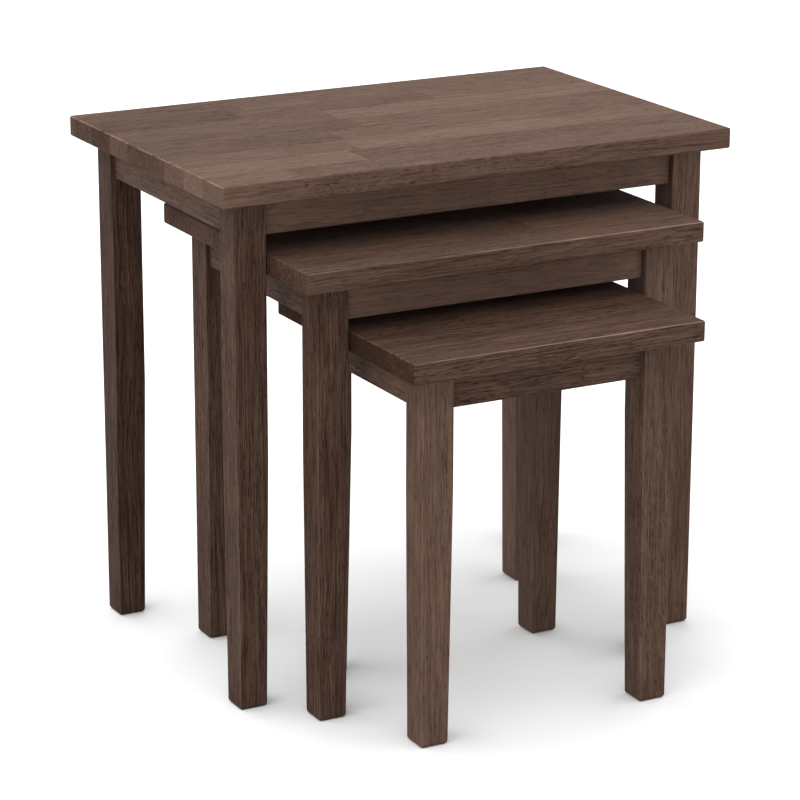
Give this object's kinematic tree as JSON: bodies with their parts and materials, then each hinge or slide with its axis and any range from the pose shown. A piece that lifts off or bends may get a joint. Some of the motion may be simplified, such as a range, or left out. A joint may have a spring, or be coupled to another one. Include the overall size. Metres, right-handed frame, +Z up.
{
  "type": "nesting tables",
  "caption": "Nest of solid-wood side tables with rounded butcher-block tops, slim aprons and square legs that taper to the foot; the smaller ones slide out to the front.",
  "frame": {"origin": "on the floor, at the middle of the box that the nest fills with the smaller tables drawn out as stored", "axes": "+X along the tables' long side, +Z up, the smaller tables are drawn out towards -Y, which is the front"},
  "size_m": [0.54, 0.509, 0.51],
  "materials": {
    "top_wood": "dark grey-brown stain under satin lacquer, edge-glued staves",
    "leg_wood": "dark grey-brown stain under satin lacquer, grain along the leg",
    "apron_wood": "dark grey-brown stain under satin lacquer, grain along the apron",
    "block_wood": "bare sawn hardwood",
    "dowel_wood": "bare beech",
    "screw_steel": "zinc plated"
  },
  "bodies": {
    "large_table": {"large_top": "top_wood", "large_leg_front_left": "leg_wood", "large_leg_front_right": "leg_wood", "large_leg_back_left": "leg_wood", "large_leg_back_right": "leg_wood", "large_apron_front": "apron_wood", "large_apron_back": "apron_wood", "large_apron_left": "apron_wood", "large_apron_right": "apron_wood", "large_corner_block_front_left": "block_wood", "large_corner_block_front_right": "block_wood", "large_corner_block_back_left": "block_wood", "large_corner_block_back_right": "block_wood", "large_dowels": "dowel_wood", "large_block_screws": "screw_steel", "large_top_screws": "screw_steel"},
    "medium_table": {"medium_top": "top_wood", "medium_leg_front_left": "leg_wood", "medium_leg_front_right": "leg_wood", "medium_leg_back_left": "leg_wood", "medium_leg_back_right": "leg_wood", "medium_apron_front": "apron_wood", "medium_apron_back": "apron_wood", "medium_apron_left": "apron_wood", "medium_apron_right": "apron_wood", "medium_corner_block_front_left": "block_wood", "medium_corner_block_front_right": "block_wood", "medium_corner_block_back_left": "block_wood", "medium_corner_block_back_right": "block_wood", "medium_dowels": "dowel_wood", "medium_block_screws": "screw_steel", "medium_top_screws": "screw_steel"},
    "small_table": {"small_top": "top_wood", "small_leg_front_left": "leg_wood", "small_leg_front_right": "leg_wood", "small_leg_back_left": "leg_wood", "small_leg_back_right": "leg_wood", "small_apron_front": "apron_wood", "small_apron_back": "apron_wood", "small_apron_left": "apron_wood", "small_apron_right": "apron_wood", "small_corner_block_front_left": "block_wood", "small_corner_block_front_right": "block_wood", "small_corner_block_back_left": "block_wood", "small_corner_block_back_right": "block_wood", "small_dowels": "dowel_wood", "small_block_screws": "screw_steel", "small_top_screws": "screw_steel"}
  },
  "joints": [
    {"name": "medium_slide", "type": "slide", "parent": "large_table", "child": "medium_table", "axis": [0, -1, 0], "range_m": [-0.08, 0.28]},
    {"name": "small_slide", "type": "slide", "parent": "large_table", "child": "small_table", "axis": [0, -1, 0], "range_m": [-0.2, 0.48]}
  ]
}
